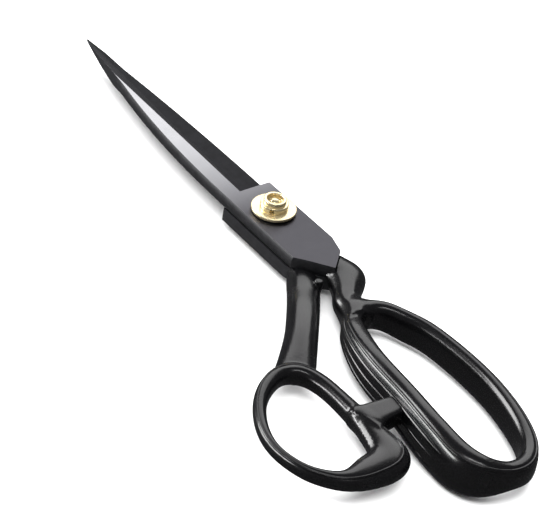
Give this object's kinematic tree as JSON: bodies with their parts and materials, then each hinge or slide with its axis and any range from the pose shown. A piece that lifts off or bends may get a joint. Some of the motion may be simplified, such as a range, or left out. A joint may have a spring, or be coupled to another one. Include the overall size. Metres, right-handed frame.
{
  "type": "fabric shears",
  "caption": "Bent-handle fabric shears with a long finger bow, a thumb loop with a stop lug, and a blade pivot held by a keyed bolt, washers and a notched nut.",
  "frame": {"origin": "centre of the pivot bolt head's flat outer face, on the pivot axis", "axes": "+X along the closed blades from the point towards the handles, +Z along the pivot axis from the bolt's head towards its nut, thumb loop towards -Y"},
  "size_m": [0.2432, 0.0783, 0.0166],
  "materials": {
    "ground_steel": "ground satin",
    "black_steel": "black oxide, ground",
    "black_enamel": "gloss enamel",
    "spring_steel": "black oxide",
    "brass": "pale brass, polished"
  },
  "bodies": {
    "finger_lever": {"upper_blade": "ground_steel", "finger_handle": "black_enamel"},
    "thumb_lever": {"lower_blade": "black_steel", "thumb_handle": "black_enamel", "pivot_bolt": "brass", "spring_washer": "spring_steel", "pivot_washer": "brass"},
    "tension_nut": {"pivot_nut": "brass"}
  },
  "joints": [
    {"name": "blade_pivot", "type": "hinge", "parent": "finger_lever", "child": "thumb_lever", "pos_m": [0, 0, 0], "axis": [0, 0, -1], "range_deg": [0, 60]},
    {"name": "nut_turn", "type": "hinge", "parent": "thumb_lever", "child": "tension_nut", "pos_m": [0, 0, 0], "axis": [0, 0, 1], "range_deg": [-45, 45]}
  ]
}
